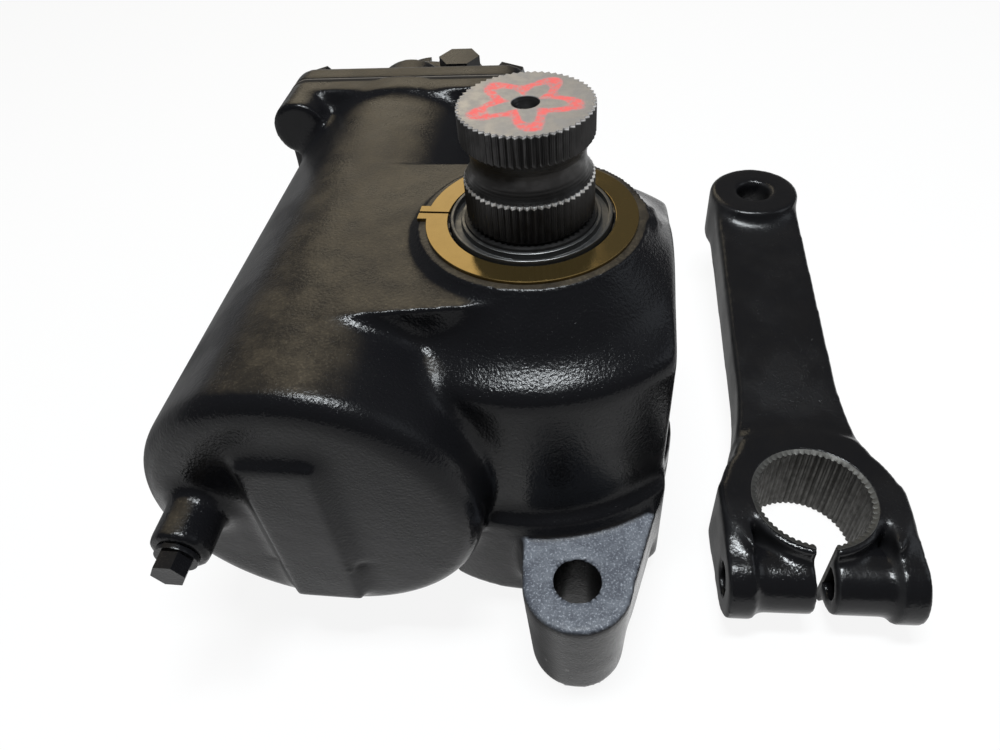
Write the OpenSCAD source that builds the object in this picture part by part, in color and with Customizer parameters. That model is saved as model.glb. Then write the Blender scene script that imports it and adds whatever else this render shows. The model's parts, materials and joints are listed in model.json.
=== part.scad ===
// Recirculating-ball power steering gear with its pitman arm laid beside it.
// Origin: output shaft axis at the mounting plane. +Z runs up the output shaft,
// +Y runs along the rack cylinder towards the input shaft, +X points away from the cylinder.

/* [Gearing] */
// Module of the rack and sector teeth
tooth_module = 8.5; // [8:0.1:9]
// Teeth that a complete wheel of the sector's pitch would have
wheel_teeth = 10; // [9:1:11]
// Pressure angle of the teeth
pressure_angle = 25; // [22:0.5:27]
// Play between rack and sector flanks
backlash = 0.3; // [0.2:0.05:0.6]
// Height of the rack and sector teeth along the output shaft
tooth_face = 63; // [50:1:66]
// Turn of the output shaft to either side of centre
turn_limit = 48; // [30:1:50]
// Distance from the piston axis to the rack's pitch line
rack_line = 39.5; // [37:0.5:42]

/* [Rack cylinder] */
// Radius of the cylinder bore
bore_r = 56; // [54:0.5:58]
// Wall of the cylinder
cyl_wall = 12; // [9:0.5:14]
// Distance from the output axis to the closed front end
cyl_front = 102; // [96:1:112]
// Thickness of the closed front end
front_wall = 12; // [8:1:16]
// Rounding of the front rim
front_fillet = 10; // [4:1:16]
// Distance from the output axis to the valve housing face
cyl_back = 138.5; // [134:0.5:150]
// Room left past each end of the piston stroke
end_room = 2.5; // [1:0.5:5]

/* [Housing] */
// Wall of the sector chamber towards the front
chamber_wall = 28; // [22:0.5:30]
// Wall of the sector chamber on its flat side
side_wall = 7.5; // [6:0.5:12]
// Slope of the chamber's top below the boss
shoulder_slope = 47; // [40:1:52]
// Radius where the slope meets the shoulder's ledge
ledge_r = 63; // [60:0.5:66]
// Slope of the shoulder's ledge
ledge_slope = 25; // [15:1:32]
// Rounding of the ledge's rim
shoulder_f = 8; // [4:1:12]
// Radius of the shaft boss where it leaves the top
boss_base_r = 49.5; // [48:0.5:54]
// Radius of the shaft boss at its face
boss_top_r = 46; // [44:0.5:47.5]
// Height of the shaft boss
boss_h = 4.5; // [3:0.5:8]
// Rim between the chamber bore and the edge of the side cover
cover_rim = 16; // [14.5:0.5:20]
// Length of the flat top pad in front of the output axis
pad_front = 54; // [44:1:60]
// Length of the flat top pad behind the output axis
pad_back = 51; // [40:1:60]

/* [Mounting ears] */
// Radius of the mounting bolt holes
mount_hole_r = 9.8; // [8:0.1:11]
// Sideways place of the two ears
ear_x = 23; // [18:1:28]
// Distance of the front ear's hole ahead of the output axis
ear_front = 104; // [98:1:112]
// Distance of the rear ear's hole behind the output axis
ear_back = 98; // [94:1:110]
// Height of the ears
ear_h = 58; // [50:1:62]
// Radius of the ears' round ends
ear_r = 22.7; // [20:0.1:24]
// Taper of the ears towards the mounting plane
ear_draft = 2.4; // [0:0.2:4]
// Step of the skirt above the front ear
skirt_step = 7; // [4:0.5:12]
// Underside of the skirt above the mounting plane
skirt_z0 = 9; // [4:1:14]
// Reach of the skirt from the output axis
skirt_r = 84.5; // [78:0.5:88]
// Radius of the tapped feet under the cylinder
foot_r = 17; // [14:0.5:20]
// Radius of the tapped mounting holes
tapped_r = 8.4; // [6:0.1:9]
// Depth of the tapped mounting holes
tapped_depth = 26; // [18:1:28]
// Sideways place of the tapped feet from the piston axis
foot_off = 36; // [30:1:42]
// Distance of the front foot ahead of the output axis
foot_front = 62; // [55:1:70]
// Distance of the rear foot behind the output axis
foot_back = 92; // [80:1:98]

/* [Front end] */
// Radius of the port boss on the closed end
port_boss_r = 11.5; // [10:0.5:15]
// Length of the port boss
port_boss_len = 22; // [14:1:28]
// Sideways place of the port boss from the piston axis
port_boss_x = 43; // [36:1:45]
// Height of the port boss above the piston axis
port_boss_z = 7; // [-10:1:10]
// Thread radius of the port plug
plug_r = 5.5; // [5:0.5:7]
// Width of the raised pad on the closed end
end_pad_w = 31; // [20:1:36]
// Height of the raised pad above the piston axis
end_pad_top = 39; // [26:1:44]
// Height of the raised pad's step
end_pad_t = 5; // [3:0.5:8]

/* [Output shaft] */
// Outer radius of the serrations
spline_r = 25.4; // [24:0.1:26]
// Number of serrations
spline_teeth = 58; // [44:2:64]
// Depth of the serrations
spline_depth = 1.3; // [0.8:0.1:1.8]
// Length of the upper serrated band
upper_band = 11.3; // [9:0.1:18]
// Width of the round groove between the bands
band_groove = 17; // [13:0.5:19]
// Length of the lower serrated band
lower_band = 15; // [12:0.5:20]
// Depth of the round groove below the serrations' tips
groove_depth = 3.4; // [2.4:0.1:4.5]
// Step from the serrations to the upper journal
journal_step = 1.1; // [0.6:0.1:2]
// Radius of the lower journal
low_journal_r = 22; // [19:0.5:23]

/* [Bearings and seals] */
// Radial clearance of running fits
run_gap = 0.05; // [0.02:0.01:0.1]
// Clearance between seated pieces
seat_gap = 0.05; // [0.02:0.01:0.2]
// Clearance between faces that pass one another
pass_gap = 0.6; // [0.4:0.1:1.2]
// Radial thickness of the upper roller bearing
bearing_t = 6.4; // [5:0.2:8]
// Length of the upper roller bearing
bearing_len = 24; // [18:1:25]
// Number of rollers in the upper bearing
roller_count = 26; // [16:1:28]
// Radial thickness of the output seal
seal_t = 6; // [5:0.2:7]
// Height of the output seal
seal_h = 9.5; // [7:0.5:11]
// How far the seal stands above the dust ring
seal_proud = 1.2; // [0.5:0.1:3]
// Thickness of the dust ring
dust_ring_t = 1.5; // [1:0.1:2.5]
// Outer radius of the dust ring
dust_ring_r = 42.8; // [40:0.1:44]
// Room between the output seal and the dust ring
ring_room = 1.3; // [0.2:0.1:2]
// Wall of the side cover bush
bush_t = 3.5; // [2:0.5:5]
// Length of the input seal
input_seal_h = 8; // [6:0.5:9]
// Thickness of the gaskets
gasket_t = 1; // [0.5:0.1:2]

/* [Side cover] */
// Thickness of the side cover's rim
cover_t = 11; // [9:0.5:14]
// Room between the side cover's bolt heads and the mounting plane
bolt_room = 1; // [0.5:0.5:4]
// Thread radius of the side cover bolts
cover_bolt_r = 5; // [4:0.5:5.5]
// Number of side cover bolts
cover_bolts = 6; // [5:1:8]
// Thread radius of the sector adjuster
adjuster_r = 6; // [5:0.5:7]

/* [Valve housing] */
// Distance of the valve housing bolts from the piston axis
valve_bolt_pcd = 77; // [76:0.5:82]
// Thread radius of the valve housing bolts
valve_bolt_r = 7; // [5:0.5:8]
// Radius of the flange's corners and bolt lobes
lobe_r = 15; // [13:0.5:17]
// Step from the cylinder to the rim at its flange
flange_rim = 3.5; // [1:0.5:5]
// Thickness of the valve housing flange
valve_flange_t = 14; // [10:1:18]
// Radius of the valve housing body
valve_body_r = 52; // [50:0.5:56]
// Length of the valve housing body behind its flange
valve_body_len = 48; // [46:1:60]
// Radius of the valve housing neck
valve_neck_r = 46; // [43:0.5:50]
// Length of the valve housing neck
valve_neck_len = 14; // [10:1:20]
// Thread radius of the oil ports
port_r = 9; // [7:0.5:11]
// Radius of the oil port bosses
port_pad_r = 17; // [15:0.5:19]
// Distance of the oil ports behind the flange
port_off = 20; // [19:0.5:26]
// Tilt of the two oil ports above and below the piston axis
port_tilt = 24; // [22:1:32]
// Radius of the cast hump on top
hump_r = 25; // [20:0.5:28]
// Rise of the hump above the valve housing body
hump_rise = 7; // [4:0.5:9]
// Thread radius of the relief valve cap
relief_r = 8; // [6:0.5:8.5]
// Sideways place of the relief valve cap from the piston axis
relief_x = 24.5; // [22:0.5:28]

/* [Worm and valve] */
// Radius of the worm
worm_r = 13.6; // [12:0.1:14]
// Radius of the balls
ball_r = 2.8; // [2.2:0.1:2.8]
// Lead of the ball track
worm_lead = 14; // [10:0.5:16]
// Turns of the ball circuit
ball_turns = 2.5; // [1.5:0.5:3]
// Balls in one turn of the track
balls_per_turn = 14; // [8:1:15]
// Bore of the ball nut inside the piston
nut_r = 19.6; // [19.4:0.1:21]
// Outer radius of the valve sleeve
sleeve_r = 26; // [24:0.5:28]
// Length of the valve sleeve
sleeve_len = 44; // [36:1:44]
// Radius of the input shaft inside the valve sleeve
spool_r = 15; // [14:0.5:17]
// Radius of the input serrations
input_r = 12.7; // [11:0.1:13]
// Number of input serrations
input_teeth = 36; // [30:2:48]
// Length of the input serrations
input_len = 30; // [20:1:40]
// Radius of the torsion bar's ends
bar_r = 5; // [4:0.5:5.5]

/* [Pitman arm] */
// Place of the arm's clamp across the gear
arm_x = 127; // [124:0.5:138]
// Place of the arm's clamp along the gear
arm_y = -45.5; // [-56:0.5:-40]
// Heading of the arm
arm_heading = 2; // [-2:0.5:6]
// Distance between the arm's clamp bore and its eye
arm_len = 206; // [185:1:220]
// Height of the arm's clamp
clamp_h = 42; // [40:1:48]
// Wall of the arm's clamp
clamp_wall = 15; // [12:0.5:17]
// Width of the rim round the clamp's bore at its slot
clamp_rim = 4.5; // [3:0.5:6]
// Width of the clamp's slot
slot_w = 8; // [4:0.5:9]
// Reach of each clamp lug from the slot's middle
lug_reach = 41.5; // [39:0.5:44]
// Thickness of the clamp lugs
lug_t = 12; // [9:0.5:14]
// Radius of the clamp lugs' round ends
lug_r = 17; // [15:0.5:19]
// Radius of the barrel between the clamp lugs
barrel_r = 14; // [12:0.5:14.5]
// Radius of the pinch bolt hole
pinch_r = 8; // [6:0.5:8.5]
// Room between the pinch bolt hole and the shaft's round groove
pinch_room = 0.75; // [0.25:0.25:2]
// Radius of the arm's eye
eye_r = 26; // [22:0.1:28]
// Thickness of the arm's eye
eye_t = 34; // [28:1:38]
// Rise of the eye's underside above the mounting plane
eye_rise = 38; // [30:1:44]
// Middle radius of the eye's tapered hole
eye_hole_r = 11.5; // [8:0.5:12.5]
// Width of the shank
shank_w = 50; // [40:1:52]
// Thickness of the shank
shank_t = 26; // [20:1:28]

/* [Hidden] */
$fn = 96;

black_paint = "#191a1d";
bare_steel = "#8d8f92";
dark_steel = "#3b3c3f";
yellow_plate = "#c9a23c";
bronze = "#a8834a";
rubber_black = "#141414";
fibre = "#5a5248";

// Overlap that keeps cuts and unions clean
eps = 0.5;
// Corner radius of a hexagon for a given thread radius
function hex_r(thread_r) = 1.75 * thread_r;
// Height of a bolt head for a given thread radius
function head_h(thread_r) = 1.4 * thread_r;

// Rack and sector
pitch_r = tooth_module * wheel_teeth / 2;
tooth_pitch = PI * tooth_module;
addendum = 0.8 * tooth_module;
dedendum = tooth_module;
base_r = pitch_r * cos(pressure_angle);
tip_r = pitch_r + addendum;
root_r = pitch_r - dedendum;
wheel_step = 360 / wheel_teeth;
sector_teeth = [-1, 0, 1];
travel = pitch_r * turn_limit * PI / 180;

// Rack axis and cylinder
cyl_r = bore_r + cyl_wall;
rack_x = -(pitch_r + rack_line);
bore_front = -(cyl_front - front_wall);

// The side cover lies just under the cylinder's round, and the rack axis stands above it
chamber_r = tip_r + 1.2;
cover_r = chamber_r + cover_rim;
cover_pcd = chamber_r + cover_rim / 2;
cover_z0 = bolt_room + head_h(cover_bolt_r);
cover_z1 = cover_z0 + cover_t;
cover_face_z = cover_z1 + gasket_t;
round_room = 0.8;
rack_z = cover_face_z + round_room + sqrt(pow(cyl_r, 2) - pow(rack_x + cover_r, 2));
top_z = rack_z + cyl_r;

// Levels up the output shaft
chamber_out_r = chamber_r + chamber_wall;
chamber_flat_x = chamber_r + side_wall;
teeth_z0 = rack_z - tooth_face / 2;
teeth_z1 = rack_z + tooth_face / 2;
chamber_top = teeth_z1 + 4;
boss_top = top_z + boss_h;
ring_plane = boss_top + dust_ring_t;
journal_r = spline_r + journal_step;
neck_r = spline_r - spline_depth - 0.25;
seal_r = journal_r + seal_t;
seal_z1 = ring_plane + seal_proud;
seal_z0 = seal_z1 - seal_h;
lip_t = 1.5;
bearing_r = journal_r + bearing_t;
bearing_z1 = seal_z0 - lip_t;
bearing_z0 = bearing_z1 - bearing_len;
low_band_z0 = seal_z1 + 2.8;
low_band_z1 = low_band_z0 + lower_band;
up_band_z0 = low_band_z1 + band_groove;
shaft_top = up_band_z0 + upper_band;
groove_arc_r = (pow(band_groove / 2, 2) + pow(groove_depth, 2)) / (2 * groove_depth);

// Side cover
cover_boss_z1 = teeth_z0 - 2.5;
cover_thread = 12;
bush_r = low_journal_r + run_gap + bush_t;
shaft_z0 = cover_z0 + 5;
dome_h = 3;
dome_z0 = cover_z0 - dome_h;
dome_r = 26;
adjuster_head_r = 1.5 * adjuster_r;
adjuster_head_h = 6;
retainer_h = 4;
locknut_h = 4;
adjuster_tail = 0.5;
cover_bolt_turn = -105;

// Valve housing stack along the rack axis
valve_y0 = cyl_back + gasket_t;
valve_y1 = valve_y0 + valve_flange_t;
valve_y2 = valve_y1 + valve_body_len;
valve_y3 = valve_y2 + valve_neck_len;
lobe_len = 30;
lobe_angles = [45, 135, 225, 315];
valve_bolt_grip = 22;
thrust_y0 = valve_y0 + 3;
thrust_t = 5;
collar_r = sleeve_r - 2;
collar_t = 6;
collar_y0 = thrust_y0 + thrust_t + pass_gap;
sleeve_y0 = collar_y0 + collar_t;
sleeve_y1 = sleeve_y0 + sleeve_len;
sleeve_bore = sleeve_r + run_gap;
adjuster_cap_r = 36;
adjuster_cap_y0 = sleeve_y1 + 1;
adjuster_cap_y1 = valve_y3 + 12;
lock_ring_r = 45;
lock_ring_t = 8;
input_neck_r = spool_r - 1;
input_seal_t = 6;
input_seal_y1 = adjuster_cap_y1 - 3;
input_seal_y0 = input_seal_y1 - input_seal_h;
input_y1 = adjuster_cap_y1 + 10 + input_len;
port_y = valve_y1 + port_off;
port_reach = valve_body_r + 9;
port_floor = sleeve_r + 6;
hump_x = rack_x - 7.5;
relief_y = port_y + 3;
relief_z = rack_z + valve_body_r + 3;
relief_depth = 18;

// Piston and ball nut
piston_r = bore_r - run_gap;
piston_y0 = bore_front + end_room + travel;
piston_y1 = cyl_back - end_room - travel;
flat_y1 = piston_y1 - 36;
ring_y = piston_y1 - 14;
ring_w = 5;
ring_deep = 5;
nut_y0 = piston_y0 + 12;
worm_y0 = nut_y0 + travel + 2;
ball_track_r = (worm_r + nut_r) / 2;
ball_y0 = ring_y - ring_w / 2 - 6 - ball_turns * worm_lead;
guide_w = 12;
guide_r0 = nut_r + 0.4;
guide_r1 = 34;
clip_t = 3;

// Pitman arm
clamp_bore_r = spline_r + 0.2;
clamp_r = clamp_bore_r + clamp_wall;
pinch_y = -(spline_r - groove_depth + pinch_room + pinch_r);

// Point where a line from p touches a circle round c; side is 1 or -1
function touch(p, c, r, side) =
    let (v = p - c, a = atan2(v[1], v[0]) + side * acos(r / norm(v))) c + r * [cos(a), sin(a)];
// Involute angle in degrees at a radius
function inv_at(r) = let (a = acos(base_r / r)) tan(a) * 180 / PI - a;
// Half angle of a sector tooth at a radius
function half_tooth(r) =
    (tooth_pitch / 2 - backlash) / (2 * pitch_r) * 180 / PI + inv_at(pitch_r) - inv_at(max(r, base_r));

// Stands a shape made along Z on the rack axis, Z turned to +Y and Y turned to -Z
module on_rack() {
    translate([rack_x, 0, rack_z]) rotate([-90, 0, 0]) children();
}

// Copies a shape to the four bolt lobes
module at_lobes() {
    for (a = lobe_angles) rotate(a) translate([valve_bolt_pcd, 0, 0]) children();
}

// Copies a shape to the side cover bolts
module at_cover_bolts() {
    for (i = [0:cover_bolts - 1])
        rotate(cover_bolt_turn + i * 360 / cover_bolts) translate([cover_pcd, 0, 0]) children();
}

// Plain tube between two heights
module tube(r_in, r_out, z0, z1) {
    translate([0, 0, z0]) difference() {
        cylinder(h = z1 - z0, r = r_out);
        translate([0, 0, -eps]) cylinder(h = z1 - z0 + 2 * eps, r = r_in);
    }
}

// Hexagon prism
module hex(thread_r, h) {
    cylinder(h = h, r = hex_r(thread_r), $fn = 6);
}

// Outline of straight-sided serrations
module serration(r_out, depth, count) {
    polygon([for (i = [0:2 * count - 1])
        let (r = i % 2 == 0 ? r_out : r_out - depth, a = i * 180 / count) [r * cos(a), r * sin(a)]]);
}

// Outline of one sector tooth pointing along +X
module sector_tooth() {
    steps = 8;
    radii = [for (i = [0:steps]) base_r + (tip_r - base_r) * i / steps];
    low = [root_r - 2, half_tooth(base_r)];
    upper = concat([low], [for (r = radii) [r, half_tooth(r)]]);
    lower = [for (i = [len(upper) - 1:-1:0]) [upper[i][0], -upper[i][1]]];
    polygon([for (q = concat(upper, lower)) [q[0] * cos(q[1]), q[0] * sin(q[1])]]);
}

// Outline of the space that takes one sector tooth, X away from the piston axis
module rack_space() {
    x0 = rack_line - dedendum;
    x1 = rack_line + addendum + eps;
    function half_w(x) = tooth_pitch / 4 + (x - rack_line) * tan(pressure_angle);
    polygon([[x0, -half_w(x0)], [x1, -half_w(x1)], [x1, half_w(x1)], [x0, half_w(x0)]]);
}

// Square flange outline with its corners round the bolts
module flange_outline() {
    side = 2 * valve_bolt_pcd * cos(45);
    square([side + 2 * lobe_r, side], center = true);
    square([side, side + 2 * lobe_r], center = true);
    at_lobes() circle(lobe_r);
}

// Rack cylinder with its rounded closed end
module rack_cylinder() {
    on_rack() {
        translate([0, 0, -cyl_front + front_fillet])
            cylinder(h = cyl_front + cyl_back - front_fillet, r = cyl_r);
        translate([0, 0, -cyl_front]) cylinder(h = front_fillet + eps, r = cyl_r - front_fillet);
        translate([0, 0, -cyl_front + front_fillet])
            rotate_extrude() translate([cyl_r - front_fillet, 0]) circle(front_fillet, $fn = 48);
        translate([0, 0, cyl_back - valve_flange_t - 3])
            cylinder(h = valve_flange_t + 3, r = cyl_r + flange_rim);
        translate([0, 0, cyl_back - valve_flange_t]) linear_extrude(valve_flange_t) flange_outline();
        translate([0, 0, cyl_back - lobe_len]) at_lobes() cylinder(h = lobe_len, r = lobe_r);
    }
}

// Sector chamber with its ledged shoulder, flat on the side away from the cylinder
module sector_chamber() {
    ledge_z = top_z - (ledge_r - boss_base_r) * tan(shoulder_slope);
    mid_r = chamber_out_r - shoulder_f;
    rim_r = mid_r + shoulder_f * sin(ledge_slope);
    rim_z = ledge_z - (rim_r - ledge_r) * tan(ledge_slope);
    mid_z = rim_z - shoulder_f * cos(ledge_slope);
    big = 2 * chamber_out_r;
    intersection() {
        rotate_extrude() {
            polygon([
                [0, cover_face_z], [chamber_out_r, cover_face_z], [chamber_out_r, mid_z],
                [rim_r, rim_z], [ledge_r, ledge_z], [boss_base_r, top_z], [0, top_z]
            ]);
            translate([mid_r, mid_z]) circle(shoulder_f, $fn = 48);
        }
        translate([chamber_flat_x - big, -big / 2, 0]) cube([big, big, 2 * top_z]);
    }
    translate([0, 0, cover_face_z]) cylinder(h = cover_thread + 2, r = cover_r);
}

// Mounting ear with its web back to the chamber; side is -1 in front and 1 behind
module mounting_ear(side, reach) {
    inner = chamber_r - 8;
    web_z0 = cover_face_z + 6;
    translate([ear_x, side * reach, 0]) cylinder(h = ear_h, r1 = ear_r - ear_draft, r2 = ear_r);
    translate([0, 0, web_z0]) linear_extrude(ear_h - web_z0)
        polygon([
            [ear_x - ear_r, side * reach], [ear_x - ear_r - 4, side * inner],
            [chamber_flat_x, side * inner], [chamber_flat_x + 1, side * (inner + 12)],
            [ear_x + ear_r, side * reach]
        ]);
}

// Stepped skirt between the front ear and the chamber
module front_skirt() {
    left = -36;
    difference() {
        intersection() {
            translate([0, 0, skirt_z0]) cylinder(h = ear_h + skirt_step - skirt_z0, r = skirt_r);
            translate([left, -2 * skirt_r, 0]) cube([chamber_flat_x - left + 1, 2 * skirt_r, top_z]);
        }
        cylinder(h = cover_face_z, r = cover_r + pass_gap);
    }
}

// Flat cast pad that joins the cylinder's crown to the shaft boss
module top_pad() {
    translate([0, 0, rack_z]) linear_extrude(cyl_r)
        polygon([[rack_x, -pad_front - 5], [0, -pad_front + 6], [0, pad_back], [rack_x, pad_back]]);
}

// Round boss that the output shaft leaves through
module shaft_boss() {
    translate([0, 0, top_z - eps]) cylinder(h = eps, r = boss_base_r);
    translate([0, 0, top_z]) cylinder(h = boss_h, r1 = boss_base_r, r2 = boss_top_r);
    rotate(6) translate([boss_top_r - 8, -6, top_z - 10]) cube([13, 13, 10 + boss_h - 1]);
}

// Port boss and raised pad on the closed end
module front_end_features() {
    on_rack() {
        translate([-port_boss_x, -port_boss_z, -cyl_front - port_boss_len])
            cylinder(h = port_boss_len + front_wall, r = port_boss_r);
        translate([-3 - end_pad_w / 2, -end_pad_top, -cyl_front - end_pad_t])
            cube([end_pad_w, end_pad_top + cyl_r - front_fillet - 4, end_pad_t + eps]);
    }
}

// Tapped feet under the cylinder
module cylinder_feet() {
    for (y = [-foot_front, foot_back]) translate([rack_x - foot_off, y, 0])
        cylinder(h = rack_z - sqrt(bore_r * bore_r - foot_off * foot_off) - 4, r = foot_r);
}

module gear_housing() {
    color(black_paint) difference() {
        union() {
            rack_cylinder();
            sector_chamber();
            top_pad();
            shaft_boss();
            mounting_ear(-1, ear_front);
            mounting_ear(1, ear_back);
            front_skirt();
            front_end_features();
            cylinder_feet();
        }
        on_rack() {
            translate([0, 0, bore_front]) cylinder(h = cyl_back - bore_front + eps, r = bore_r);
            translate([-port_boss_x, -port_boss_z, -cyl_front - port_boss_len - eps])
                cylinder(h = port_boss_len + front_wall + 2 * eps, r = plug_r + seat_gap);
            translate([0, 0, cyl_back - valve_bolt_grip])
                at_lobes() cylinder(h = valve_bolt_grip + eps, r = valve_bolt_r + seat_gap);
        }
        translate([0, 0, cover_face_z - eps])
            cylinder(h = chamber_top - cover_face_z + eps, r = chamber_r);
        translate([0, 0, chamber_top - eps])
            cylinder(h = bearing_z1 - chamber_top + eps, r = bearing_r + seat_gap);
        translate([0, 0, bearing_z1 - eps]) cylinder(h = lip_t + 2 * eps, r = seal_r - 2);
        translate([0, 0, seal_z0]) cylinder(h = boss_top - seal_z0 + eps, r = seal_r + seat_gap);
        translate([0, 0, cover_face_z - eps])
            at_cover_bolts() cylinder(h = cover_thread + eps, r = cover_bolt_r + seat_gap);
        for (y = [-ear_front, ear_back]) translate([ear_x, y, -eps])
            cylinder(h = ear_h + 2 * eps, r = mount_hole_r);
        for (y = [-foot_front, foot_back]) translate([rack_x - foot_off, y, -eps])
            cylinder(h = tapped_depth + eps, r = tapped_r);
    }
}

module trunnion_bearing() {
    color(bare_steel) tube(bearing_r - 2, bearing_r, bearing_z0, bearing_z1);
}

module trunnion_rollers() {
    roller_r = (bearing_r - 2 - journal_r) / 2 - run_gap;
    color(bare_steel)
        for (i = [0:roller_count - 1]) rotate(i * 360 / roller_count)
            translate([journal_r + run_gap + roller_r, 0, bearing_z0 + 1.5])
                cylinder(h = bearing_len - 3, r = roller_r, $fn = 24);
}

module output_seal() {
    color(rubber_black) difference() {
        tube(journal_r + run_gap, seal_r, seal_z0, seal_z1);
        translate([0, 0, seal_z1 - 2.5]) tube(journal_r + 1.6, seal_r - 1.4, 0, 3);
    }
}

module dust_ring() {
    color(yellow_plate) difference() {
        translate([0, 0, boss_top]) union() {
            tube(seal_r + ring_room, dust_ring_r, 0, dust_ring_t);
            rotate(178) translate([dust_ring_r - 1, -4.7, 0]) cube([4.6, 9.4, dust_ring_t]);
        }
        rotate(178) translate([seal_r, -0.6, boss_top - eps]) cube([20, 1.2, dust_ring_t + 2 * eps]);
    }
}

module side_cover() {
    color(black_paint) difference() {
        union() {
            translate([0, 0, cover_z0]) cylinder(h = cover_t, r = cover_r);
            translate([0, 0, cover_z1 - eps])
                cylinder(h = cover_boss_z1 - cover_z1 + eps, r = bush_r + 5);
            translate([0, 0, dome_z0]) cylinder(h = dome_h + eps, r1 = dome_r, r2 = dome_r + 8);
            for (i = [0:cover_bolts - 1])
                rotate(cover_bolt_turn + (i + 0.5) * 360 / cover_bolts)
                    translate([dome_r, -4, dome_z0]) cube([cover_r - dome_r - 6, 8, dome_h + eps]);
        }
        translate([0, 0, shaft_z0 - 1]) cylinder(h = cover_boss_z1, r = bush_r + seat_gap);
        translate([0, 0, dome_z0 - eps]) cylinder(h = cover_t, r = adjuster_r + seat_gap);
        translate([0, 0, cover_z0 - eps])
            at_cover_bolts() cylinder(h = cover_t + 2 * eps, r = cover_bolt_r + seat_gap);
    }
}

module side_cover_gasket() {
    color(fibre) difference() {
        tube(chamber_r, cover_r, cover_z1, cover_face_z);
        translate([0, 0, cover_z1 - eps])
            at_cover_bolts() cylinder(h = gasket_t + 2 * eps, r = cover_bolt_r + seat_gap);
    }
}

module side_cover_bolts() {
    color(dark_steel) at_cover_bolts() {
        translate([0, 0, cover_z0 - head_h(cover_bolt_r)]) hex(cover_bolt_r, head_h(cover_bolt_r));
        translate([0, 0, cover_z0 - eps]) cylinder(h = cover_t + gasket_t + cover_thread - 1 + eps, r = cover_bolt_r);
    }
}

module side_cover_bush() {
    color(bronze) tube(low_journal_r + run_gap, bush_r, shaft_z0 + 1, cover_boss_z1);
}

module sector_adjuster() {
    color(dark_steel) {
        translate([0, 0, dome_z0 - locknut_h - adjuster_tail])
            cylinder(h = shaft_z0 + retainer_h + 1 - dome_z0 + locknut_h + adjuster_tail, r = adjuster_r);
        translate([0, 0, shaft_z0 + retainer_h + pass_gap])
            cylinder(h = adjuster_head_h, r = adjuster_head_r);
    }
}

module adjuster_locknut() {
    color(dark_steel) difference() {
        translate([0, 0, dome_z0 - locknut_h]) hex(adjuster_r, locknut_h);
        translate([0, 0, dome_z0 - locknut_h - eps])
            cylinder(h = locknut_h + 2 * eps, r = adjuster_r + seat_gap);
    }
}

module port_plug() {
    color(dark_steel) on_rack() translate([-port_boss_x, -port_boss_z, -cyl_front - port_boss_len]) {
        cylinder(h = port_boss_len, r = plug_r);
        translate([0, 0, -2]) cylinder(h = 2, r = 1.5 * plug_r);
        translate([0, 0, -2 - 1.3 * plug_r]) cylinder(h = 1.3 * plug_r + eps, r = 1.25 * plug_r, $fn = 6);
    }
}

// Lays a shape made along Z on the two oil ports, Z out from the piston axis
module at_ports() {
    for (t = [-port_tilt, port_tilt]) translate([rack_x, port_y, rack_z]) rotate([0, t - 90, 0]) children();
}

module valve_housing() {
    color(black_paint) difference() {
        union() {
            on_rack() {
                translate([0, 0, valve_y0]) linear_extrude(valve_flange_t) flange_outline();
                translate([0, 0, valve_y0]) cylinder(h = valve_y2 - valve_y0, r = valve_body_r);
                translate([0, 0, valve_y2 - eps])
                    cylinder(h = 8, r1 = valve_body_r, r2 = valve_neck_r);
                translate([0, 0, valve_y2]) cylinder(h = valve_neck_len, r = valve_neck_r);
            }
            translate([hump_x, valve_y1 - eps, rack_z + valve_body_r + hump_rise - hump_r]) rotate([-90, 0, 0])
                cylinder(h = valve_body_len - 12, r = hump_r);
            translate([rack_x + relief_x, relief_y, rack_z])
                cylinder(h = relief_z - rack_z, r = 1.6 * relief_r + 1.2);
            at_ports() cylinder(h = port_reach, r = port_pad_r);
        }
        on_rack() {
            translate([0, 0, valve_y0 - eps])
                cylinder(h = thrust_y0 - valve_y0 + 2 * eps, r = worm_r + 4);
            translate([0, 0, thrust_y0])
                cylinder(h = adjuster_cap_y0 - thrust_y0, r = sleeve_bore);
            translate([0, 0, adjuster_cap_y0 - 1])
                cylinder(h = valve_y3 - adjuster_cap_y0 + 1 + eps, r = adjuster_cap_r + seat_gap);
            translate([0, 0, valve_y0 - eps])
                at_lobes() cylinder(h = valve_flange_t + 2 * eps, r = valve_bolt_r + seat_gap);
        }
        at_ports() translate([0, 0, port_floor]) cylinder(h = port_reach, r = port_r);
        translate([rack_x + relief_x, relief_y, relief_z]) {
            cylinder(h = hump_r, r = 1.6 * relief_r + 1.2);
            translate([0, 0, -relief_depth - 2]) cylinder(h = relief_depth + 2 + eps, r = relief_r + seat_gap);
        }
    }
}

module valve_gasket() {
    color(fibre) on_rack() translate([0, 0, cyl_back]) difference() {
        linear_extrude(gasket_t) flange_outline();
        translate([0, 0, -eps]) cylinder(h = gasket_t + 2 * eps, r = bore_r);
        translate([0, 0, -eps]) at_lobes() cylinder(h = gasket_t + 2 * eps, r = valve_bolt_r + seat_gap);
    }
}

module valve_bolts() {
    color(dark_steel) on_rack() at_lobes() {
        translate([0, 0, valve_y1]) hex(valve_bolt_r, head_h(valve_bolt_r));
        translate([0, 0, cyl_back - valve_bolt_grip + 2])
            cylinder(h = valve_y1 - cyl_back + valve_bolt_grip - 2 + eps, r = valve_bolt_r);
    }
}

module relief_valve_cap() {
    color(dark_steel) translate([rack_x + relief_x, relief_y, relief_z]) {
        translate([0, 0, -relief_depth]) cylinder(h = relief_depth + eps, r = relief_r);
        cylinder(h = 2, r = 1.6 * relief_r);
        translate([0, 0, 2 - eps]) cylinder(h = relief_r, r = 1.5 * relief_r, $fn = 6);
    }
}

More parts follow.
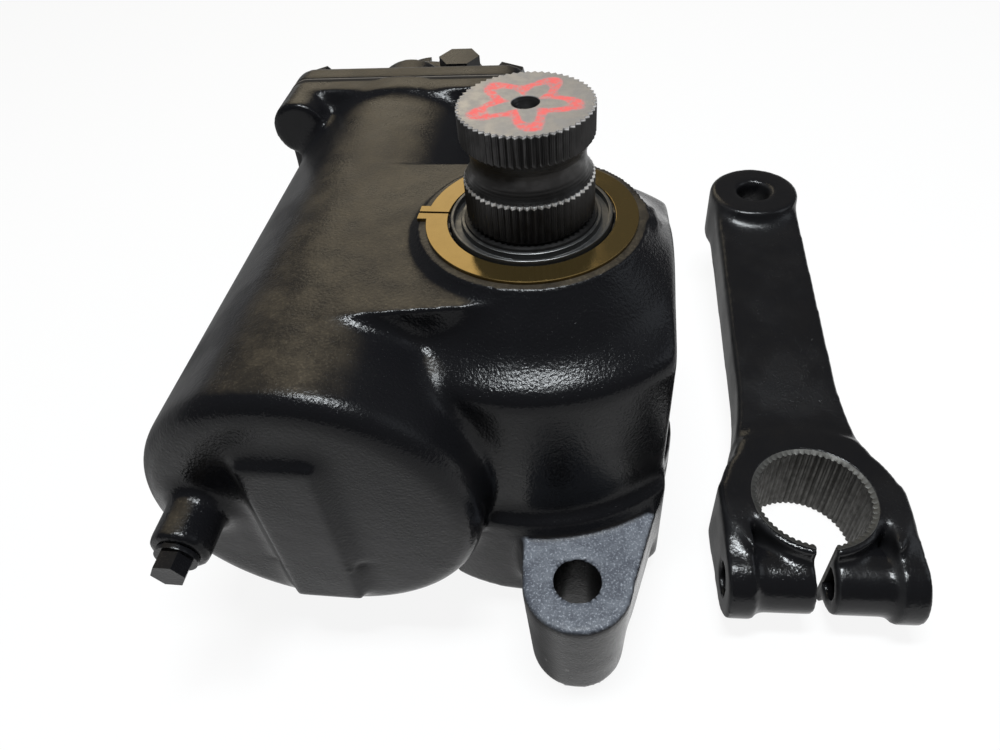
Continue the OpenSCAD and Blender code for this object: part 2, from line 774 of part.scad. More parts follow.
module worm_bearing() {
    color(bare_steel) on_rack()
        tube(worm_r + run_gap, sleeve_r, thrust_y0, thrust_y0 + thrust_t);
}

module bearing_adjuster() {
    color(dark_steel) on_rack() difference() {
        union() {
            translate([0, 0, adjuster_cap_y0])
                cylinder(h = adjuster_cap_y1 - adjuster_cap_y0 - 4, r = adjuster_cap_r);
            translate([0, 0, adjuster_cap_y1 - 4 - eps])
                cylinder(h = 4 + eps, r = adjuster_cap_r - 4, $fn = 8);
        }
        translate([0, 0, adjuster_cap_y0 - eps])
            cylinder(h = adjuster_cap_y1, r = input_neck_r + input_seal_t + seat_gap);
    }
}

module adjuster_lock_ring() {
    color(dark_steel) on_rack() difference() {
        tube(adjuster_cap_r + seat_gap, lock_ring_r, valve_y3, valve_y3 + lock_ring_t);
        for (i = [0:7]) rotate(i * 45)
            translate([lock_ring_r - 4, -3, valve_y3 - eps]) cube([8, 6, lock_ring_t + 2 * eps]);
    }
}

module input_bearing() {
    color(bare_steel) on_rack()
        tube(input_neck_r + run_gap, input_neck_r + input_seal_t, adjuster_cap_y0 + 2, input_seal_y0 - 1);
}

module input_seal() {
    color(rubber_black) on_rack()
        tube(input_neck_r + run_gap, input_neck_r + input_seal_t, input_seal_y0, input_seal_y1);
}

module input_dust_boot() {
    boot_r = input_neck_r + input_seal_t + 4;
    color(rubber_black) on_rack() translate([0, 0, adjuster_cap_y1]) difference() {
        union() {
            cylinder(h = 3, r = boot_r);
            translate([0, 0, 3 - eps]) cylinder(h = 5, r1 = boot_r - 2, r2 = input_neck_r + 3);
        }
        translate([0, 0, -eps]) cylinder(h = 9, r = input_neck_r + 0.3);
    }
}

module sector_shaft() {
    color(dark_steel) difference() {
        union() {
            translate([0, 0, shaft_z0]) cylinder(h = teeth_z0 - shaft_z0 + eps, r = low_journal_r);
            translate([0, 0, teeth_z0]) linear_extrude(tooth_face) {
                circle(root_r);
                for (k = sector_teeth) rotate(180 + k * wheel_step) sector_tooth();
            }
            translate([0, 0, teeth_z1 - eps])
                cylinder(h = seal_z1 + 1 - teeth_z1 + eps, r = journal_r);
            translate([0, 0, seal_z1]) cylinder(h = low_band_z0 - seal_z1 + eps, r = neck_r - 0.5);
            translate([0, 0, low_band_z0])
                linear_extrude(shaft_top - low_band_z0) serration(spline_r, spline_depth, spline_teeth);
        }
        rotate_extrude() translate([spline_r - groove_depth + groove_arc_r, (low_band_z1 + up_band_z0) / 2])
            circle(groove_arc_r);
        translate([0, 0, shaft_z0 - eps])
            cylinder(h = retainer_h + adjuster_head_h + 2 * pass_gap + eps, r = adjuster_head_r + pass_gap);
        translate([0, 0, shaft_top - 7]) cylinder(h = 7 + eps, r1 = 1.7, r2 = 5.6);
        translate([0, 0, shaft_top - 14]) cylinder(h = 8, r = 2);
    }
}

module adjuster_retainer() {
    color(dark_steel)
        tube(adjuster_r + pass_gap, adjuster_head_r + pass_gap - seat_gap, shaft_z0, shaft_z0 + retainer_h);
}

module rack_piston() {
    flat_x = rack_line + addendum;
    color(bare_steel) on_rack() difference() {
        translate([0, 0, piston_y0]) cylinder(h = piston_y1 - piston_y0, r = piston_r);
        translate([flat_x, -bore_r, piston_y0 - eps])
            cube([bore_r, 2 * bore_r, flat_y1 - piston_y0 + eps]);
        for (k = sector_teeth) translate([0, bore_r, k * tooth_pitch])
            rotate([90, 0, 0]) linear_extrude(2 * bore_r) rack_space();
        translate([0, 0, nut_y0]) cylinder(h = piston_y1 - nut_y0 + eps, r = nut_r);
        translate([0, 0, ring_y - ring_w / 2])
            tube(piston_r - ring_deep, bore_r + eps, 0, ring_w);
        translate([-bore_r, -guide_w / 2 - seat_gap, ball_y0 - seat_gap])
            cube([bore_r, guide_w + 2 * seat_gap, ball_turns * worm_lead + 2 * seat_gap]);
    }
}

module piston_ring() {
    color(rubber_black) on_rack()
        tube(piston_r - ring_deep + seat_gap, bore_r - run_gap / 2,
            ring_y - ring_w / 2 + seat_gap, ring_y + ring_w / 2 - seat_gap);
}

module recirculating_balls() {
    count = floor(ball_turns * balls_per_turn);
    color(bare_steel) on_rack()
        for (i = [0:count - 1])
            let (a = 360 * i / balls_per_turn, y = ball_y0 + worm_lead * i / balls_per_turn)
                translate([ball_track_r * cos(a), -ball_track_r * sin(a), y]) sphere(ball_r, $fn = 24);
}

module ball_return_guides() {
    len = ball_turns * worm_lead;
    color(bare_steel) on_rack() for (s = [0, 1]) mirror([0, s, 0])
        translate([-guide_r1, seat_gap, ball_y0]) difference() {
            cube([guide_r1 - guide_r0, guide_w / 2 - seat_gap, len]);
            translate([(guide_r1 - guide_r0) / 2, -seat_gap, ball_r + 1])
                cylinder(h = len - 2 * ball_r - 2, r = ball_r + 0.3);
        }
}

module guide_clip() {
    len = ball_turns * worm_lead;
    color(bare_steel) on_rack()
        translate([-guide_r1 - clip_t - seat_gap, -guide_w / 2, ball_y0]) cube([clip_t, guide_w, len]);
}

module worm_shaft() {
    color(bare_steel) on_rack() difference() {
        union() {
            translate([0, 0, worm_y0]) cylinder(h = collar_y0 - worm_y0 + eps, r = worm_r);
            translate([0, 0, collar_y0]) cylinder(h = collar_t, r = collar_r);
        }
        translate([0, 0, collar_y0 - 20]) cylinder(h = 20 + collar_t + eps, r = bar_r + seat_gap);
        translate([0, worm_r + eps, collar_y0 - 12]) rotate([90, 0, 0])
            cylinder(h = 2 * worm_r + 2 * eps, r = 2 + seat_gap);
    }
}

module valve_sleeve() {
    color(bare_steel) on_rack() difference() {
        tube(spool_r + run_gap, sleeve_r, sleeve_y0, sleeve_y1);
        for (k = [0:3]) translate([0, 0, sleeve_y0 + 3 + k * (sleeve_len - 9) / 3])
            tube(sleeve_r - 2, sleeve_r + eps, 0, 3);
        for (k = [0:2]) for (a = [0:60:300])
            translate([0, 0, sleeve_y0 + 4.5 + (k + 0.5) * (sleeve_len - 9) / 3]) rotate([0, 90, a])
                cylinder(h = sleeve_r + eps, r = 2);
    }
}

module sleeve_rings() {
    color(rubber_black) on_rack()
        for (k = [0:3]) translate([0, 0, sleeve_y0 + 3 + k * (sleeve_len - 9) / 3])
            tube(sleeve_r - 2 + seat_gap, sleeve_r, seat_gap, 3 - seat_gap);
}

module torsion_bar() {
    bar_y0 = collar_y0 - 20 + seat_gap;
    bar_y1 = input_y1 - 6;
    color(dark_steel) on_rack() difference() {
        union() {
            translate([0, 0, bar_y0]) cylinder(h = 22, r = bar_r);
            translate([0, 0, bar_y0]) cylinder(h = bar_y1 - bar_y0, r = bar_r - 1.4);
            translate([0, 0, bar_y1 - 18]) cylinder(h = 18, r = bar_r);
        }
        translate([0, worm_r + eps, collar_y0 - 12]) rotate([90, 0, 0])
            cylinder(h = 2 * worm_r + 2 * eps, r = 2 + seat_gap);
    }
}

module torsion_bar_pin() {
    color(dark_steel) on_rack() translate([0, worm_r - 0.4, collar_y0 - 12]) rotate([90, 0, 0])
        cylinder(h = 2 * worm_r - 0.8, r = 2);
}

module input_shaft() {
    spool_y0 = sleeve_y0 + 1;
    color(bare_steel) on_rack() difference() {
        union() {
            translate([0, 0, spool_y0]) cylinder(h = sleeve_len, r = spool_r);
            translate([0, 0, spool_y0]) cylinder(h = input_y1 - input_len - spool_y0, r = input_neck_r);
            translate([0, 0, input_y1 - input_len - eps])
                cylinder(h = input_len - 2 + eps, r = input_r - 1.2);
            translate([0, 0, input_y1 - input_len])
                linear_extrude(input_len) serration(input_r, 0.9, input_teeth);
        }
        translate([0, 0, spool_y0 - eps]) cylinder(h = input_y1, r = bar_r + run_gap);
        for (a = [0:60:300]) rotate(a) translate([spool_r - 1.6, -2, spool_y0 + 6])
            cube([4, 4, sleeve_len - 14]);
    }
}

// Side view of a clamp lug, X along the arm and Y up
module lug_outline() {
    c = [pinch_y, clamp_h / 2];
    over = [-8, clamp_h];
    under = [-8, 0];
    translate(c) circle(lug_r);
    polygon([
        over, touch(over, c, lug_r - eps, 1), c, touch(under, c, lug_r - eps, -1), under,
        [8, 0], [8, clamp_h]
    ]);
}

// Arm laid flat beside the gear, its clamp at the local origin and its eye along +Y
module pitman_arm() {
    gap_w = lug_reach - lug_t;
    shank_z = clamp_h - 5 - shank_t;
    color(black_paint) translate([arm_x, arm_y, 0]) rotate(arm_heading) difference() {
        union() {
            difference() {
                cylinder(h = clamp_h, r = clamp_r);
                translate([-gap_w, -2 * clamp_r, -eps]) cube([2 * gap_w, 2 * clamp_r, clamp_h + 2 * eps]);
            }
            cylinder(h = clamp_h, r = clamp_bore_r + clamp_rim);
            for (s = [-1, 1]) translate([s * (lug_reach - lug_t / 2) - lug_t / 2, 0, 0])
                rotate([90, 0, 90]) linear_extrude(lug_t) lug_outline();
            translate([-gap_w - eps, pinch_y, clamp_h / 2]) rotate([0, 90, 0])
                cylinder(h = 2 * gap_w + 2 * eps, r = barrel_r);
            hull() {
                translate([-shank_w / 2, clamp_r - 14, shank_z]) cube([shank_w, 4, shank_t]);
                translate([-0.48 * shank_w, arm_len - 8, eye_rise + 2]) cube([0.96 * shank_w, 4, eye_t - 6]);
            }
            translate([0, arm_len, eye_rise]) cylinder(h = eye_t, r = eye_r);
        }
        translate([0, 0, -eps]) linear_extrude(clamp_h + 2 * eps)
            serration(clamp_bore_r, spline_depth, spline_teeth);
        translate([-slot_w / 2, -2 * clamp_r, -eps]) cube([slot_w, 2 * clamp_r, clamp_h + 2 * eps]);
        translate([-lug_reach - eps, pinch_y, clamp_h / 2]) rotate([0, 90, 0])
            cylinder(h = 2 * lug_reach + 2 * eps, r = pinch_r);
        translate([0, arm_len, eye_rise - eps])
            cylinder(h = eye_t + 2 * eps, r1 = eye_hole_r + eye_t / 16, r2 = eye_hole_r - eye_t / 16);
    }
}

gear_housing();
trunnion_bearing();
trunnion_rollers();
output_seal();
dust_ring();
side_cover();
side_cover_gasket();
side_cover_bolts();
side_cover_bush();
sector_adjuster();
adjuster_locknut();
port_plug();
valve_housing();
valve_gasket();
valve_bolts();
relief_valve_cap();
worm_bearing();
bearing_adjuster();
adjuster_lock_ring();
input_bearing();
input_seal();
input_dust_boot();
sector_shaft();
adjuster_retainer();
rack_piston();
piston_ring();
recirculating_balls();
ball_return_guides();
guide_clip();
worm_shaft();
valve_sleeve();
sleeve_rings();
torsion_bar();
torsion_bar_pin();
input_shaft();
pitman_arm();
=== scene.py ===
import json
import math

import bmesh
import bpy
import numpy as np
from mathutils import Matrix, Vector


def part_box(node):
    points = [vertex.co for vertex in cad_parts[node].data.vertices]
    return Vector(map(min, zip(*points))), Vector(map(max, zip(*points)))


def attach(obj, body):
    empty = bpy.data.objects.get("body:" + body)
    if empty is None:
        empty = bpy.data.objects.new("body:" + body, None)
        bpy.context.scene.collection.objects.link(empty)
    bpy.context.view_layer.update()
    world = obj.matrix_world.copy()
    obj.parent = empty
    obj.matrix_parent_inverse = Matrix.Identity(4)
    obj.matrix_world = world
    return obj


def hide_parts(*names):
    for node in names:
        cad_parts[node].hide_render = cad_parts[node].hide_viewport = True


print("frame: loading the packed gear")
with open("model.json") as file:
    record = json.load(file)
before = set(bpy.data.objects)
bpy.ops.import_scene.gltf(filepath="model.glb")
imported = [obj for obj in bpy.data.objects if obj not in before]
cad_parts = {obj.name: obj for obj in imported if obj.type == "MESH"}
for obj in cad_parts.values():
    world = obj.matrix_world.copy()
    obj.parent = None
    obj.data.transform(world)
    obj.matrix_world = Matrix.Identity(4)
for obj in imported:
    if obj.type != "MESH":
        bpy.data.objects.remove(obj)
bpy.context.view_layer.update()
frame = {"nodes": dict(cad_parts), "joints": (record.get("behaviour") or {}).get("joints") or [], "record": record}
nodes = frame["nodes"]
mounts = {m["name"]: m for m in frame["record"]["mounts"]}
mm = 0.001  # sizes below are in millimetres unless a note says otherwise


# where the frame's own features are, in millimetres
def boxOf(node):
    low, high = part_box(node)
    return np.array(low) / mm, np.array(high) / mm


def mountAt(name):
    return np.array(mounts[name]["pos_m"]) / mm


def mountRadius(name):
    return mounts[name]["dims"]["r_mm"]


pistonLow, pistonHigh = boxOf("rack_piston")
rackX = (pistonLow[0] + pistonHigh[0]) / 2
rackZ = (pistonLow[2] + pistonHigh[2]) / 2
boreRadius = (pistonHigh[2] - pistonLow[2]) / 2
rackTravel = next(j["range_m"][1] for j in frame["joints"] if j["name"] == "rack_slide") / mm
bossFace = boxOf("gear_housing")[1][2]
shaftEnd = boxOf("sector_shaft")[1][2]
shaftRadius = 25.4  # over the serrations
armTurn = math.radians(2)  # heading of the loose arm


# node group and material helpers
def addNode(tree, kind, **settings):
    node = tree.nodes.new(kind)
    for key, value in settings.items():
        setattr(node, key, value)
    return node


def plug(tree, value, socket):
    if isinstance(value, bpy.types.NodeSocket):
        tree.links.new(value, socket)
    else:
        socket.default_value = value


def calc(tree, operation, a, b=0.0, c=0.0, clamp=False):
    node = addNode(tree, "ShaderNodeMath", operation=operation, use_clamp=clamp)
    for socket, value in zip(node.inputs, (a, b, c)):
        plug(tree, value, socket)
    return node.outputs[0]


def ramp(tree, value, low, high, outLow=0.0, outHigh=1.0):
    node = addNode(tree, "ShaderNodeMapRange", interpolation_type="SMOOTHSTEP")
    for socket, v in zip(node.inputs, (value, low, high, outLow, outHigh)):
        plug(tree, v, socket)
    return node.outputs[0]


def noise(tree, vector, scale, detail=3.0, rough=0.5):
    node = addNode(tree, "ShaderNodeTexNoise")
    plug(tree, vector, node.inputs["Vector"])
    plug(tree, scale, node.inputs["Scale"])
    node.inputs["Detail"].default_value = detail
    node.inputs["Roughness"].default_value = rough
    return node.outputs["Fac"]


def blendColor(tree, share, first, second):
    node = addNode(tree, "ShaderNodeMix", data_type="RGBA")
    plug(tree, share, node.inputs[0])
    plug(tree, first, node.inputs[6])
    plug(tree, second, node.inputs[7])
    return node.outputs[2]


def attribute(tree, name):
    return addNode(tree, "ShaderNodeAttribute", attribute_name=name).outputs["Fac"]


def objectPlace(tree):
    return addNode(tree, "ShaderNodeTexCoord").outputs["Object"]


def splitVector(tree, vector):
    node = addNode(tree, "ShaderNodeSeparateXYZ")
    plug(tree, vector, node.inputs[0])
    return [node.outputs[k] for k in "XYZ"]


# distance from the output shaft's axis, in metres
def shaftDistance(tree, x, y):
    squares = [calc(tree, "POWER", value, 2.0) for value in (x, y)]
    return calc(tree, "SQRT", calc(tree, "ADD", *squares))


def newGroup(name, inputs, outputs):
    tree = bpy.data.node_groups.new(name, "ShaderNodeTree")
    for socketName, kind, value in inputs:
        socket = tree.interface.new_socket(socketName, in_out="INPUT", socket_type=kind)
        socket.default_value = value
    for socketName, kind in outputs:
        tree.interface.new_socket(socketName, in_out="OUTPUT", socket_type=kind)
    return tree, addNode(tree, "NodeGroupInput").outputs, addNode(tree, "NodeGroupOutput").inputs


def useGroup(tree, group, **values):
    node = addNode(tree, "ShaderNodeGroup", node_tree=group)
    for key, value in values.items():
        plug(tree, value, node.inputs[key])
    return node.outputs


def newMaterial(name, **sockets):
    material = bpy.data.materials.new(name)
    material.use_nodes = True
    tree = material.node_tree
    shader = tree.nodes["Principled BSDF"]
    for key, value in sockets.items():
        plug(tree, value, shader.inputs[key.replace("_", " ")])
    return material, tree, shader


def bump(tree, shader, height, distance):
    node = addNode(tree, "ShaderNodeBump")
    node.inputs["Distance"].default_value = distance * mm
    plug(tree, height, node.inputs["Height"])
    tree.links.new(node.outputs["Normal"], shader.inputs["Normal"])


# shared surface effects; noise scales are per metre
grainLook = {
    "sagScale": 55.0,
    "peelScale": 420.0,
    "sandScale": 850.0,
    "speckScale": 1300.0,
    "patchScale": 28.0,
    "peelShare": 0.08,
    "sandShare": 0.5,
    "speckShare": 0.09,
}


def makeCastGrain():
    tree, given, out = newGroup(
        "castGrain",
        [("Grain", "NodeSocketFloat", 1.0), ("Sag", "NodeSocketFloat", 1.0)],
        [("Height", "NodeSocketFloat"), ("Patch", "NodeSocketFloat")],
    )
    place = objectPlace(tree)
    wide = noise(tree, place, grainLook["sagScale"], 3.0)
    peel = noise(tree, place, grainLook["peelScale"], 2.0)
    sand = noise(tree, place, grainLook["sandScale"], 2.0, 0.55)
    speck = ramp(tree, noise(tree, place, grainLook["speckScale"], 2.0, 0.6), 0.62, 0.72)
    height = calc(tree, "MULTIPLY", peel, grainLook["peelShare"])
    height = calc(tree, "MULTIPLY_ADD", wide, given["Sag"], height)
    for layer, share in ((sand, grainLook["sandShare"]), (speck, grainLook["speckShare"])):
        layer = calc(tree, "MULTIPLY", layer, given["Grain"])
        height = calc(tree, "MULTIPLY_ADD", layer, share, height)
    plug(tree, height, out["Height"])
    plug(tree, ramp(tree, noise(tree, place, grainLook["patchScale"], 4.0), 0.35, 0.7), out["Patch"])
    return tree


dustLook = {
    "flat": (0.9, 0.995),  # upward normals from which dust begins and is full
    "side": (-0.2, -0.7),  # the same for haze on the side that faces -X
    "driftScale": 70.0,
    "crumbScale": 900.0,
    "leastDrift": 0.3,
    "leastCrumbs": 0.55,
}


def makeSettledDust():
    tree, given, out = newGroup(
        "settledDust",
        [("Amount", "NodeSocketFloat", 0.5)],
        [("Mask", "NodeSocketFloat"), ("SideHaze", "NodeSocketFloat")],
    )
    sideways, _, upward = splitVector(tree, addNode(tree, "ShaderNodeNewGeometry").outputs["Normal"])
    place = objectPlace(tree)
    top = ramp(tree, upward, *dustLook["flat"])
    drift = noise(tree, place, dustLook["driftScale"], 5.0, 0.65)
    drift = ramp(tree, drift, 0.3, 0.74, dustLook["leastDrift"], 1.0)
    crumbs = noise(tree, place, dustLook["crumbScale"], 2.0)
    crumbs = ramp(tree, crumbs, 0.5, 0.75, dustLook["leastCrumbs"], 1.0)
    mask = calc(tree, "MULTIPLY", calc(tree, "MULTIPLY", top, drift), crumbs)
    plug(tree, calc(tree, "MULTIPLY", mask, given["Amount"], clamp=True), out["Mask"])
    plug(tree, ramp(tree, sideways, *dustLook["side"]), out["SideHaze"])
    return tree


marksLook = {"smearScale": 240.0, "ringShare": 0.5}


def makeMachineMarks():
    tree, given, out = newGroup(
        "machineMarks",
        [("Pitch", "NodeSocketFloat", 0.4)],
        [("Height", "NodeSocketFloat"), ("Streak", "NodeSocketFloat")],
    )
    place = objectPlace(tree)
    x, y, _ = splitVector(tree, place)
    pitch = calc(tree, "MULTIPLY", given["Pitch"], mm)
    turns = calc(tree, "DIVIDE", shaftDistance(tree, x, y), pitch)
    rings = calc(tree, "SINE", calc(tree, "MULTIPLY", turns, math.tau))
    smear = noise(tree, place, marksLook["smearScale"], 4.0, 0.6)
    plug(tree, calc(tree, "MULTIPLY_ADD", rings, marksLook["ringShare"], smear), out["Height"])
    plug(tree, ramp(tree, smear, 0.3, 0.7), out["Streak"])
    return tree


print("materials: paint, steel, plate, rubber")
castGrain = makeCastGrain()
settledDust = makeSettledDust()
machineMarks = makeMachineMarks()

castPaint = {
    "black": (0.006, 0.006, 0.007, 1),
    "dustBrown": (0.088, 0.07, 0.046, 1),
    # painted sheen for the ears' upper faces: grey tones and bright painted glints standing in for a reflection
    "sheenDark": (0.07, 0.076, 0.092, 1),
    "sheenGrey": (0.125, 0.135, 0.155, 1),
    "paintedGlint": (0.34, 0.36, 0.4, 1),
    "glintScale": 1000.0,
    "cloudScale": 130.0,
    "hollowDust": 0.12,
    "grainDepth": 0.35,
    # roughness added in patches, under dust, on the hazy side and on the painted-sheen faces of the ears
    "patchRough": 0.12,
    "dustRough": 0.4,
    "hazeRough": 0.35,
    "sheenRough": 0.12,
    # each finish: dust, grain, sag, least roughness, specular level
    "housing": (0.8, 1.0, 0.9, 0.17, 0.16),
    "arm": (0.04, 0.7, 0.6, 0.16, 0.3),
    "bolt": (0.25, 0.6, 0.4, 0.24, 0.2),
}


def makeCastPaint(name, dust, grain, sag, gloss, shine):
    material, tree, shader = newMaterial(name, Specular_IOR_Level=shine)
    skin = useGroup(tree, castGrain, Grain=grain, Sag=sag)
    settled = useGroup(tree, settledDust, Amount=dust)
    hollow = ramp(tree, attribute(tree, "hollow"), 0.15, 0.9)
    hollow = calc(tree, "MULTIPLY", hollow, castPaint["hollowDust"])
    film = calc(tree, "MAXIMUM", settled["Mask"], hollow)
    color = blendColor(tree, film, castPaint["black"], castPaint["dustBrown"])
    # painted sheen on the ears' upper faces: dull grey standing in for a reflection, with bright painted glints
    place = objectPlace(tree)
    sheenLayer = ramp(tree, noise(tree, place, castPaint["glintScale"], 3.0, 0.7), 0.5, 0.74)
    cloud = ramp(tree, noise(tree, place, castPaint["cloudScale"], 4.0, 0.65), 0.35, 0.65)
    sheen = blendColor(tree, cloud, castPaint["sheenDark"], castPaint["sheenGrey"])
    sheen = blendColor(tree, sheenLayer, sheen, castPaint["paintedGlint"])
    paintedSheen = attribute(tree, "paintedSheen")
    plug(tree, blendColor(tree, paintedSheen, color, sheen), shader.inputs["Base Color"])
    rough = ramp(tree, skin["Patch"], 0.0, 1.0, gloss, gloss + castPaint["patchRough"])
    rough = calc(tree, "MULTIPLY_ADD", film, castPaint["dustRough"], rough)
    rough = calc(tree, "MULTIPLY_ADD", settled["SideHaze"], castPaint["hazeRough"], rough)
    rough = calc(tree, "MULTIPLY_ADD", paintedSheen, castPaint["sheenRough"], rough)
    plug(tree, rough, shader.inputs["Roughness"])
    bump(tree, shader, skin["Height"], castPaint["grainDepth"])
    return material


housingPaint = makeCastPaint("housingPaint", *castPaint["housing"])
armPaint = makeCastPaint("armPaint", *castPaint["arm"])
boltPaint = makeCastPaint("boltPaint", *castPaint["bolt"])

outputShaft = {
    "flank": (0.03, 0.029, 0.029, 1),
    "tip": (0.7, 0.695, 0.69, 1),
    "endFace": (0.34, 0.33, 0.33, 1),
    "metal": 0.75,
    "rough": (0.3, 0.48),
    "pitch": 0.5,
    "ringDepth": 0.03,
    "faceStreak": 0.14,
    "endBand": (0.4, 0.1),  # depths below the end where its face begins and is full
    "lowBandTop": 180.0,  # upper end of the lower serrated band
    "rimDrop": 0.2,
    "wornEdge": 0.9,
    "wornFull": 0.36,
    "tipBand": (1.4, 0.9),  # depths of a tooth where its worn tip begins and is full
    "rubScale": 300.0,
    "markRed": (0.6, 0.085, 0.08, 1),
    "markRadius": 13.8,
    "markLobes": 5.0,
    "markLobe": 4.6,
    "markTurn": 0.7,  # radians
    "markWarp": 6.0,
    "warpScale": 130.0,
    "brushScale": 420.0,
    "markWidth": 4.4,
    "markSoft": 2.2,
    "markMetal": 0.7,  # metal that the mark takes away
    "markRough": 0.12,
}


def makeShaftSteel():
    material, tree, shader = newMaterial("shaftSteel")
    place = objectPlace(tree)
    x, y, z = splitVector(tree, place)
    radius = calc(tree, "DIVIDE", shaftDistance(tree, x, y), mm)
    height = calc(tree, "DIVIDE", z, mm)
    marks = useGroup(tree, machineMarks, Pitch=outputShaft["pitch"])
    # bright worn rims at the upper end of each serrated band
    worn = 0.0
    for level in (shaftEnd - outputShaft["rimDrop"], outputShaft["lowBandTop"]):
        near = calc(tree, "ABSOLUTE", calc(tree, "SUBTRACT", height, level))
        rim = ramp(tree, near, outputShaft["wornEdge"], outputShaft["wornFull"])
        worn = calc(tree, "MAXIMUM", rim, worn)
    onTip = ramp(tree, radius, *(shaftRadius - depth for depth in outputShaft["tipBand"]))
    rubbed = ramp(tree, noise(tree, place, outputShaft["rubScale"]), 0.25, 0.6, 0.55, 1.0)
    worn = calc(tree, "MULTIPLY", calc(tree, "MULTIPLY", worn, onTip), rubbed)
    color = blendColor(tree, worn, outputShaft["flank"], outputShaft["tip"])
    onEnd = ramp(tree, z, *((shaftEnd - depth) * mm for depth in outputShaft["endBand"]))
    streak = calc(tree, "MULTIPLY", marks["Streak"], outputShaft["faceStreak"])
    face = blendColor(tree, streak, outputShaft["endFace"], outputShaft["flank"])
    color = blendColor(tree, onEnd, color, face)
    # hand-brushed red loop with five lobes on the end face
    warp = noise(tree, place, outputShaft["warpScale"], 3.0)
    drift = calc(tree, "SUBTRACT", radius, outputShaft["markWarp"] / 2)
    drift = calc(tree, "MULTIPLY_ADD", warp, outputShaft["markWarp"], drift)
    angle = calc(tree, "ARCTAN2", y, x)
    angle = calc(tree, "MULTIPLY_ADD", angle, outputShaft["markLobes"], outputShaft["markTurn"])
    lobe = calc(tree, "COSINE", angle)
    drift = calc(tree, "MULTIPLY_ADD", lobe, -outputShaft["markLobe"], drift)
    away = calc(tree, "ABSOLUTE", calc(tree, "SUBTRACT", drift, outputShaft["markRadius"]))
    loop = ramp(tree, away, outputShaft["markWidth"], outputShaft["markWidth"] - outputShaft["markSoft"])
    dry = ramp(tree, noise(tree, place, outputShaft["brushScale"], 4.0, 0.7), 0.36, 0.56, 0.2, 1.0)
    mark = calc(tree, "MULTIPLY", calc(tree, "MULTIPLY", loop, dry), onEnd)
    color = blendColor(tree, mark, color, outputShaft["markRed"])
    plug(tree, color, shader.inputs["Base Color"])
    metal = calc(tree, "MULTIPLY_ADD", mark, -outputShaft["markMetal"], outputShaft["metal"], clamp=True)
    plug(tree, metal, shader.inputs["Metallic"])
    rough = ramp(tree, marks["Streak"], 0.0, 1.0, *outputShaft["rough"])
    rough = calc(tree, "MULTIPLY_ADD", mark, outputShaft["markRough"], rough)
    plug(tree, rough, shader.inputs["Roughness"])
    bump(tree, shader, marks["Height"], outputShaft["ringDepth"])
    return material


steelLook = {"metal": 0.9, "pitch": 0.35, "streak": 0.5, "depth": 0.05}


def makeSteel(name, color, dark, rough, spread=0.15):
    material, tree, shader = newMaterial(name, Metallic=steelLook["metal"])
    marks = useGroup(tree, machineMarks, Pitch=steelLook["pitch"])
    share = calc(tree, "MULTIPLY", marks["Streak"], steelLook["streak"])
    plug(tree, blendColor(tree, share, color, dark), shader.inputs["Base Color"])
    plug(tree, ramp(tree, marks["Streak"], 0.0, 1.0, rough, rough + spread), shader.inputs["Roughness"])
    bump(tree, shader, marks["Height"], steelLook["depth"] * spread)
    return material


rubberLook = {"shine": 0.35, "grain": 0.4, "sag": 0.1, "dust": 0.25, "spread": 0.12, "depth": 0.06}


def makeRubber(name, color, rough):
    material, tree, shader = newMaterial(name, Specular_IOR_Level=rubberLook["shine"])
    skin = useGroup(tree, castGrain, Grain=rubberLook["grain"], Sag=rubberLook["sag"])
    film = useGroup(tree, settledDust, Amount=rubberLook["dust"])["Mask"]
    plug(tree, blendColor(tree, film, color, castPaint["dustBrown"]), shader.inputs["Base Color"])
    dull = ramp(tree, skin["Patch"], 0.0, 1.0, rough, rough + rubberLook["spread"])
    plug(tree, dull, shader.inputs["Roughness"])
    bump(tree, shader, skin["Height"], rubberLook["depth"])
    return material


shaftSteel = makeShaftSteel()
# colour, colour of streaks, least roughness and its spread
groundSteel = makeSteel("groundSteel", (0.52, 0.51, 0.5, 1), (0.36, 0.355, 0.35, 1), 0.24)
blackSteel = makeSteel("blackSteel", (0.06, 0.06, 0.062, 1), (0.035, 0.035, 0.036, 1), 0.36)
yellowPlate = makeSteel("yellowPlate", (0.25, 0.175, 0.066, 1), (0.22, 0.152, 0.055, 1), 0.07, 0.05)
sealSteel = makeSteel("sealSteel", (0.12, 0.12, 0.12, 1), (0.06, 0.06, 0.06, 1), 0.3)
bearingBronze = makeSteel("bearingBronze", (0.45, 0.3, 0.14, 1), (0.36, 0.23, 0.1, 1), 0.32)
boreSteel = makeSteel("boreSteel", (0.085, 0.083, 0.078, 1), (0.06, 0.058, 0.054, 1), 0.5)
sealRubber = makeRubber("sealRubber", (0.02, 0.02, 0.02, 1), 0.42)
ringPlastic = makeRubber("ringPlastic", (0.08, 0.07, 0.06, 1), 0.4)
gasketFibre = makeRubber("gasketFibre", (0.1, 0.09, 0.08, 1), 0.6)

# cast and forged skins: a fine even mesh from the solid, with its corners rounded
weldGap = 0.01
relaxStep = 0.5
holdBand = 1.6  # points this near to a bore's wall belong to it
faceBand = 0.8  # points this near to a machined face belong to it
faceReach = 1.0  # and are made level if they end this near
hollowRounds = 14


def evenMesh(node, name, voxel):
    source = bpy.data.objects.new(name + "Source", nodes[node].data.copy())
    bpy.context.scene.collection.objects.link(source)
    weld = source.modifiers.new("weld", "WELD")
    weld.merge_threshold = weldGap * mm
    remesh = source.modifiers.new("even", "REMESH")
    remesh.mode = "VOXEL"
    remesh.voxel_size = voxel * mm
    bpy.context.view_layer.update()
    mesh = bpy.data.meshes.new_from_object(source.evaluated_get(bpy.context.evaluated_depsgraph_get()))
    bpy.data.objects.remove(source)
    mesh.name = name
    return mesh


def pointsOf(mesh):
    flat = np.empty(len(mesh.vertices) * 3)
    mesh.vertices.foreach_get("co", flat)
    return flat.reshape(-1, 3) / mm


